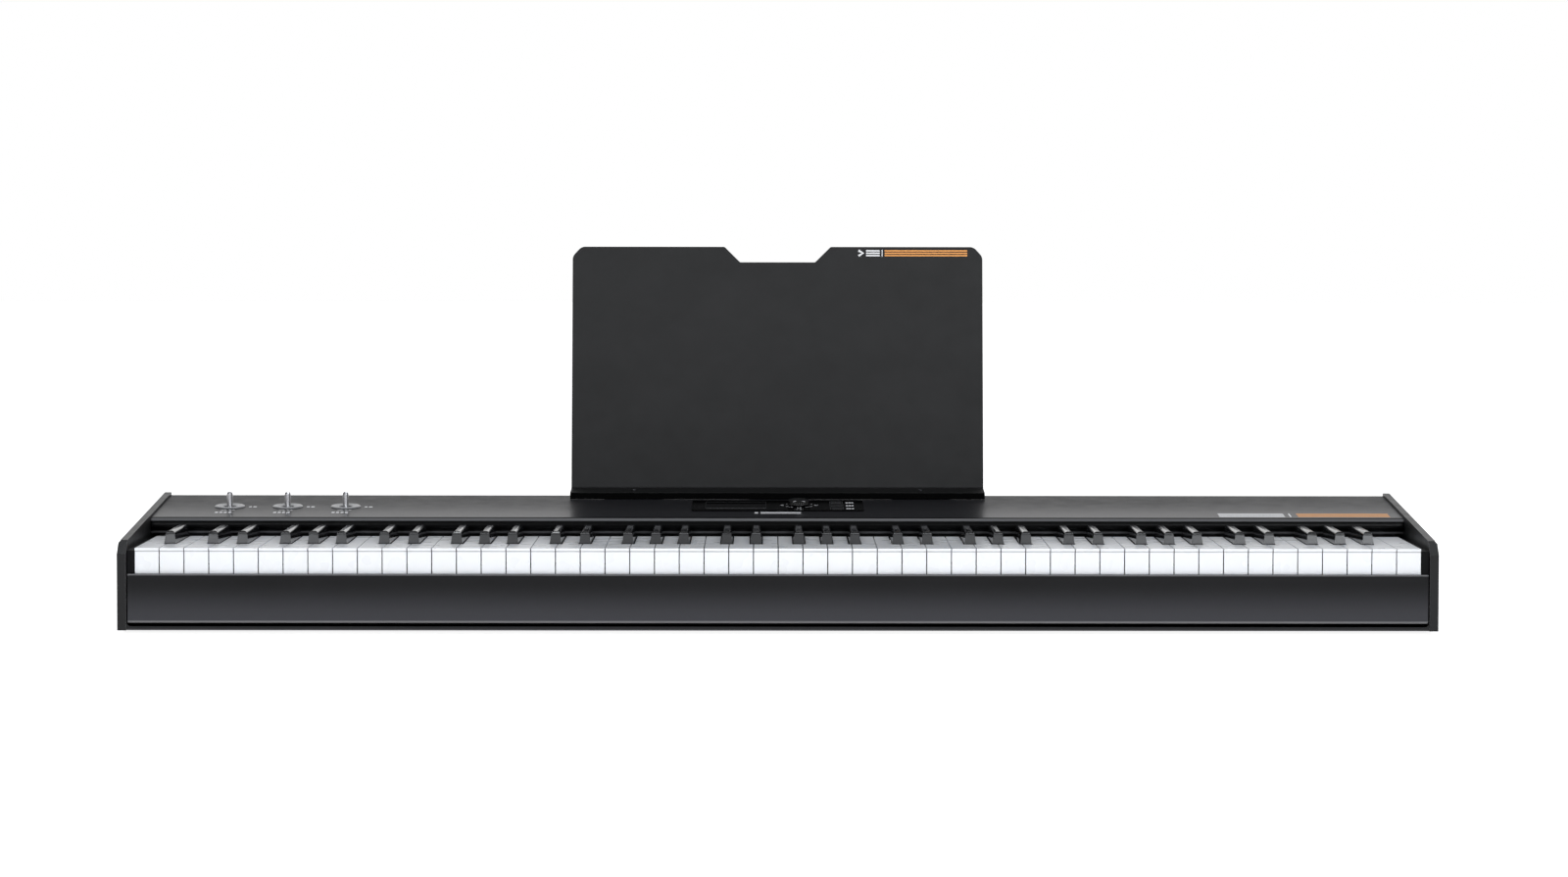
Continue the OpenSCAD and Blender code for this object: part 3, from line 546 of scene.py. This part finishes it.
def finish_mesh(name, build, material, body, smooth=False):
    """Turns a bmesh into a piece that rides on a body."""
    bmesh.ops.recalc_face_normals(build, faces=build.faces)
    for face in build.faces:
        face.smooth = smooth
    mesh = bpy.data.meshes.new(name)
    build.to_mesh(mesh)
    build.free()
    mesh.materials.append(material)
    piece = bpy.data.objects.new(name, mesh)
    bpy.context.scene.collection.objects.link(piece)
    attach(piece, body)
    return piece


def raised(name, surface, shapes, material, body, high=INK_DEPTH):
    """Flat shapes on a surface, each a thin slab that sinks in a little and stands high above it."""
    build = bmesh.new()
    for points in shapes:
        base = [build.verts.new(surface.at(x, v, -INK_SINK)) for x, v in points]
        top = [build.verts.new(surface.at(x, v, high)) for x, v in points]
        count = len(points)
        build.faces.new(top)
        build.faces.new(base[::-1])
        for i in range(count):
            j = (i + 1) % count
            build.faces.new((base[i], base[j], top[j], top[i]))
    return finish_mesh(name, build, material, body)


def lathe(name, profile, place, axis, material, body, steps):
    """A turned shape: profile is (radius, height) points, from the axis round to the axis."""
    build = bmesh.new()
    side = axis.orthogonal().normalized()
    other = axis.cross(side)
    rings = []
    for radius, height in profile:
        centre = place + axis * height
        if radius == 0:
            rings.append([build.verts.new(centre)])
            continue
        turn = [2 * math.pi * i / steps for i in range(steps)]
        spokes = [side * math.cos(a) + other * math.sin(a) for a in turn]
        rings.append([build.verts.new(centre + spoke * radius) for spoke in spokes])
    for low, high in zip(rings, rings[1:]):
        for i in range(steps):
            j = (i + 1) % steps
            corners = [low[i % len(low)], low[j % len(low)], high[j % len(high)], high[i % len(high)]]
            unique = list(dict.fromkeys(corners))
            if len(unique) > 2:
                build.faces.new(unique)
    return finish_mesh(name, build, material, body, smooth=True)


def stripes(x0, x1, v_mid, height, count):
    """A stack of thin stripes: a plain ornament where the real piano has lettering."""
    inked = 0.62
    pitch = height / (count - 1 + inked)
    starts = [v_mid - height / 2 + pitch * i for i in range(count)]
    return [bar(x0, start, x1, start + pitch * inked) for start in starts]


def case_prints():
    """Plain stripes on the top panel, at its right end and in front of the control module."""
    low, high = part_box("top_panel")
    edge = panel.up_to((0, low.y, panel.origin.z))
    v_mid = edge + 23.3 * MM
    height = 22 * MM
    right = high.x - 12 * MM
    orange = stripes(right - 91 * MM, right, v_mid, height, 4)
    raised("stripes_orange", panel, orange, orange_ink, "case")
    white = stripes(right - 169 * MM, right - 104 * MM, v_mid, height, 4)
    divider = right - 99 * MM
    white.append(bar(divider, v_mid - height / 2, divider + 1.4 * MM, v_mid + height / 2))
    name_v = edge + 36.5 * MM
    white += stripes(-17 * MM, 23 * MM, name_v, 10 * MM, 2)
    white.append(bar(-23 * MM, name_v - 4.5 * MM, -19.5 * MM, name_v + 4.5 * MM, 1 * MM))
    raised("stripes_white", panel, white, white_ink, "case")


def stick_prints():
    """Under each joystick two arrow heads and a row of bars, and beside it two dots."""
    row_start, row_low, row_high = -10.4 * MM, -41 * MM, -34.5 * MM
    row_pitch, row_bar = 4.4 * MM, 3 * MM
    dot_low, dot_high = -3 * MM, 2 * MM
    shapes = []
    for i in (1, 2, 3):
        joint = next(j for j in frame["joints"] if j["name"] == f"stick_{i}_tilt_x")
        x = joint["pos_m"][0]
        v = panel.up_to(joint["pos_m"])
        for step in range(4):
            left = x + row_start + step * row_pitch
            shapes.append(bar(left, v + row_low, left + row_bar, v + row_high, 0.6 * MM))
        for across, below, turn in ((-3.2, 23, 90), (4.2, 24, 270)):
            shapes.append(chevron(x + across * MM, v - below * MM, 5 * MM, turn, 1.6 * MM))
        for left, right in ((19, 22), (23.4, 27)):
            shapes.append(bar(x + left * MM, v + dot_low, x + right * MM, v + dot_high, 0.8 * MM))
    raised("stick_labels", panel, shapes, white_ink, "case")


def module_prints():
    """Marks round the knob, outlines round the buttons and the display, and bars beside the buttons."""
    face = panel.lifted(panel.height_of("control_bezel"))
    knob = middle("encoder_knob")
    kx, kv = knob.x, face.up_to(knob)
    head_ring, arc_ring = 17.5 * MM, 14.6 * MM
    marks = []
    for turn in (0, 90, 180, 270):
        a = math.radians(turn)
        x, v = kx + head_ring * math.cos(a), kv + head_ring * math.sin(a)
        marks.append(chevron(x, v, 3.6 * MM, turn, 1 * MM))
        marks.append(arc(kx, kv, arc_ring, turn + 25, turn + 65, 0.5 * MM))
    raised("knob_marks", face, marks, white_ink, "case")
    label_start, label_pitch, label_bar = 9.5 * MM, 2.8 * MM, 2.2 * MM
    label_low, label_high = -6 * MM, -0.5 * MM
    frames, labels = [], []
    for i in (1, 2, 3):
        low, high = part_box(f"button_{i}")
        v = face.up_to(middle(f"button_{i}"))
        half = (high.x - low.x) / 2 + 1 * MM
        x = (low.x + high.x) / 2
        frames += outline(x - half, v - half, x + half, v + half, 0.35 * MM)
        for step in range(3):
            left = x + label_start + step * label_pitch
            labels.append(bar(left, v + label_low, left + label_bar, v + label_high, 0.4 * MM))
    raised("button_outlines", face, frames, grey_ink_and_reflection, "case")
    raised("button_labels", face, labels, white_ink, "case")
    low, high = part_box("display_window")
    v = face.up_to(middle("display_window"))
    rim = 0.6 * MM
    half_v = 21 * MM + rim
    # The rim is a raised piece; its front side, the sill, is grey as a painted reflection along the window's
    # front edge, and its other three sides are dark.
    sill, *sides = outline(low.x - rim, v - half_v, high.x + rim, v + half_v, rim)
    raised("display_rim", face, sides, dark_ink, "case", RIM_DEPTH)
    raised("display_sill", face, [sill], grey_ink_and_reflection, "case", RIM_DEPTH)


def stand_prints():
    """Plain stripes in the plate's top right corner."""
    top = max((v.co - plate.origin).dot(plate.up) for v in frame["nodes"]["stand_plate"].data.vertices)
    v_mid = top - 6.5 * MM
    height = 6.4 * MM
    white = [chevron(86 * MM, v_mid, 5 * MM, 0, 2.4 * MM)]
    white += stripes(91 * MM, 105 * MM, v_mid, height, 3)
    white.append(bar(107 * MM, v_mid - 3.6 * MM, 107.9 * MM, v_mid + 3.6 * MM))
    raised("stand_stripes_white", plate, white, white_ink, "music_stand")
    orange = stripes(110 * MM, 195 * MM, v_mid, height, 3)
    raised("stand_stripes_orange", plate, orange, orange_ink, "music_stand")


def ledge_height():
    """How far the top of the stand's ledge lies above the top panel's face."""
    mesh = frame["nodes"]["stand_plate"].data
    flat = [p for p in mesh.polygons if p.normal.dot(panel.normal) > 0.99 and p.area > 1e-4]
    return max((mesh.vertices[i].co - panel.origin).dot(panel.normal) for p in flat for i in p.vertices)


def ledge_screws():
    """Low button heads that hold the outer magnets under the stand's ledge."""
    low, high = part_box("stand_magnets")
    v = panel.up_to((low + high) / 2)
    half_magnet = 30 * MM
    reach = (high.x - low.x) / 2 - half_magnet
    head = [(0, -0.2), (2.6, -0.2), (2.6, 0.2), (2.2, 0.7), (1.3, 1), (1.2, 0.95), (1.1, 0.4), (0, 0.35)]
    profile = [(radius * MM, height * MM) for radius, height in head]
    for name, x in (("left", -reach), ("right", reach)):
        place = panel.at(x, v, ledge_height())
        lathe(f"ledge_screw_{name}", profile, place, panel.normal, screw_steel,
              "music_stand", steps=24)


def ledge_strip():
    """A black rubber strip along the front of the stand's ledge, with soft edges and a faint ribbing."""
    mesh = frame["nodes"]["stand_plate"].data
    front = min((v.co - panel.origin).dot(panel.up) for v in mesh.vertices)
    low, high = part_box("stand_plate")
    inset = 0.4 * MM
    top = ledge_height() - inset
    bottom = 0.6 * MM
    thick = 0.6 * MM
    edge_thick, groove_thick = thick * 0.7, thick * 0.8
    groove = 0.25 * MM
    ribs = 3
    section = [(0, bottom), (-edge_thick, bottom + 0.1 * MM)]
    for rib in range(ribs):
        start = bottom + (top - bottom) * rib / ribs
        end = bottom + (top - bottom) * (rib + 1) / ribs
        section.append((-groove_thick, start + groove))
        section.append((-thick, (start + end) / 2))
        section.append((-groove_thick, end - groove))
    section += [(-edge_thick, top - 0.1 * MM), (0, top)]
    build = bmesh.new()
    ends = []
    for x in (low.x + inset, high.x - inset):
        ends.append([build.verts.new(panel.at(x, front + v, n)) for v, n in section])
    count = len(section)
    for i in range(count):
        j = (i + 1) % count
        build.faces.new((ends[0][i], ends[0][j], ends[1][j], ends[1][i]))
    build.faces.new(ends[0][::-1])
    build.faces.new(ends[1])
    finish_mesh("ledge_strip", build, ledge_rubber, "music_stand")


def islands(node):
    """The boxes of a node's separate solids, as (low, high) pairs."""
    build = bmesh.new()
    build.from_mesh(frame["nodes"][node].data)
    bmesh.ops.remove_doubles(build, verts=build.verts, dist=SAME_PLACE)
    left = set(build.verts)
    boxes = []
    while left:
        group = [left.pop()]
        for vert in group:
            for edge in vert.link_edges:
                other = edge.other_vert(vert)
                if other in left:
                    left.remove(other)
                    group.append(other)
        low = Vector([min(v.co[i] for v in group) for i in range(3)])
        high = Vector([max(v.co[i] for v in group) for i in range(3)])
        boxes.append((low, high))
    build.free()
    return sorted(boxes, key=lambda box: (round(box[0].y, 4), round(box[0].z, 4), box[0].x))


def felt_strip(name, low, high, material):
    """One strip of pressed felt: crowned along its middle, soft at its edges and a little uneven."""
    build = bmesh.new()
    length = high.x - low.x
    steps = max(int(length / (6 * MM)), 8)
    size = (high - low) / 2
    mid = (high + low) / 2
    around = 16
    rings = []
    for i in range(steps + 1):
        x = low.x + length * i / steps
        from_end = min(i, steps - i)
        inset = (0.75, 0.93, 1.0)[min(from_end, 2)]
        ring = []
        for j in range(around):
            angle = 2 * math.pi * (j + 0.5) / around
            y, z = (math.copysign(abs(f(angle)) ** 0.4, f(angle)) for f in (math.cos, math.sin))
            wave = 0.5 + 0.5 * smooth_noise.noise(Vector((x * 60, y * 2, z * 2 + low.y * 40)))
            reach = inset * (1 - 0.05 * wave)
            ring.append(build.verts.new((x, mid.y + size.y * y * reach, mid.z + size.z * z * reach)))
        rings.append(ring)
    for a, b in zip(rings, rings[1:]):
        for j in range(around):
            k = (j + 1) % around
            build.faces.new((a[j], a[k], b[k], b[j]))
    build.faces.new(rings[0][::-1])
    build.faces.new(rings[-1])
    return finish_mesh(name, build, material, "case", smooth=True)


def felts():
    """Felt in place of the plain strips: red in the action, black where it shows over the keys."""
    shows_above = KEY_TOP - 10 * MM
    for index, (low, high) in enumerate(islands("felt_strips")):
        material = black_felt if low.z > shows_above else red_felt
        piece = felt_strip(f"felt_{index + 1}", low, high, material)
        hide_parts("felt_strips")


def rear_prints():
    """A short bar over each socket and over the power switch."""
    rear = Surface("rear_panel", Vector((0, 1, 0)))
    above, half_wide, half_high = 4 * MM, 5 * MM, 0.7 * MM
    shapes = []
    for node in ("pedal_jacks", "data_sockets", "dc_inlet", "switch_housing"):
        for low, high in islands(node):
            x = (low.x + high.x) / 2
            v = rear.up_to((x, high.y, high.z + above))
            shapes.append(bar(x - half_wide, v - half_high, x + half_wide, v + half_high))
    raised("rear_marks", rear, shapes, white_ink, "case")


felts()
ledge_strip()
rear_prints()
case_prints()
stick_prints()
module_prints()
stand_prints()
ledge_screws()


# ---- studio ----------------------------------------------------------------------------

# The camera stands on the keys' front side, at a height over the key tops. Its angles are in degrees.
CAMERA_LENS = 100
CAMERA_ASIDE = -0.012
CAMERA_DISTANCE = 4.122
CAMERA_ABOVE_KEYS = 0.325
CAMERA_DOWN, CAMERA_ROLL, CAMERA_TURN = 3.06, -0.07, -0.237
BACKDROP_DIM = 0.14
BACKDROP_BRIGHT = 1.0
FLOOR_GLOW = 0.9
COOL_WHITE = (0.93, 0.96, 1.0)


def camera():
    """The photograph's view: a long lens, a little above the keys, aimed slightly down."""
    front = min(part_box(name)[0].y for name in WHITE_KEYS)
    data = bpy.data.cameras.new("camera")
    data.lens = CAMERA_LENS
    data.sensor_width = 36
    data.clip_end = 50
    piece = bpy.data.objects.new("camera", data)
    piece.location = (CAMERA_ASIDE, front - CAMERA_DISTANCE, KEY_TOP + CAMERA_ABOVE_KEYS)
    piece.rotation_euler = [math.radians(a) for a in (90 - CAMERA_DOWN, CAMERA_ROLL, CAMERA_TURN)]
    bpy.context.scene.collection.objects.link(piece)
    bpy.context.scene.camera = piece


def area_light(name, place, target, size, power):
    data = bpy.data.lights.new(name, "AREA")
    data.shape = "RECTANGLE"
    data.size, data.size_y = size
    data.energy = power
    data.color = COOL_WHITE
    piece = bpy.data.objects.new(name, data)
    piece.location = place
    aim = Vector(target) - Vector(place)
    piece.rotation_euler = aim.to_track_quat("-Z", "Y").to_euler()
    bpy.context.scene.collection.objects.link(piece)


def floor():
    """A wide pale floor that glows a little, so that it meets the backdrop without an edge."""
    mesh = bpy.data.meshes.new("floor")
    half = 14
    corners = [(-half, -half, 0), (half, -half, 0), (half, half, 0), (-half, half, 0)]
    mesh.from_pydata(corners, [], [(0, 1, 2, 3)])
    piece = bpy.data.objects.new("floor", mesh)
    material, _, shader = new_material("pale_floor", (0.8, 0.8, 0.8), 0.9)
    shader.inputs["Specular IOR Level"].default_value = 0.1
    shader.inputs["Emission Color"].default_value = (1, 1, 1, 1)
    shader.inputs["Emission Strength"].default_value = FLOOR_GLOW
    mesh.materials.append(material)
    bpy.context.scene.collection.objects.link(piece)


def world():
    """A backdrop: bright behind the object, dim in front of it, and plain white where the camera sees it."""
    data = bpy.data.worlds.new("world")
    data.use_nodes = True
    tree = data.node_tree
    path = tree.nodes.new("ShaderNodeLightPath")
    place = tree.nodes.new("ShaderNodeTexCoord")
    split = tree.nodes.new("ShaderNodeSeparateXYZ")
    tree.links.new(place.outputs["Generated"], split.inputs["Vector"])
    behind = ramp(tree, split.outputs["Y"], BACKDROP_DIM, BACKDROP_BRIGHT, 0.35, 0.8)
    shade = tree.nodes.new("ShaderNodeBackground")
    tree.links.new(behind, shade.inputs["Color"])
    seen = tree.nodes["Background"]
    seen.inputs["Color"].default_value = (1, 1, 1, 1)
    mix = tree.nodes.new("ShaderNodeMixShader")
    tree.links.new(path.outputs["Is Camera Ray"], mix.inputs["Fac"])
    tree.links.new(shade.outputs["Background"], mix.inputs[1])
    tree.links.new(seen.outputs["Background"], mix.inputs[2])
    tree.links.new(mix.outputs["Shader"], tree.nodes["World Output"].inputs["Surface"])
    bpy.context.scene.world = data


camera()
floor()
world()
area_light("front_left", (-1.4, -4.0, 1.7), (-0.2, 0, 0.1), (0.8, 1.0), 32)
area_light("front_right", (1.4, -4.0, 1.7), (0.2, 0, 0.1), (0.8, 1.0), 52)
area_light("overhead", (0, 0.1, 2.3), (0, 0, 0.1), (3.2, 0.14), 20)
area_light("high_strip", (0, -1.1, 2.2), (0, 0, 0.1), (3.2, 0.12), 10)
bpy.context.scene.view_settings.view_transform = "Standard"
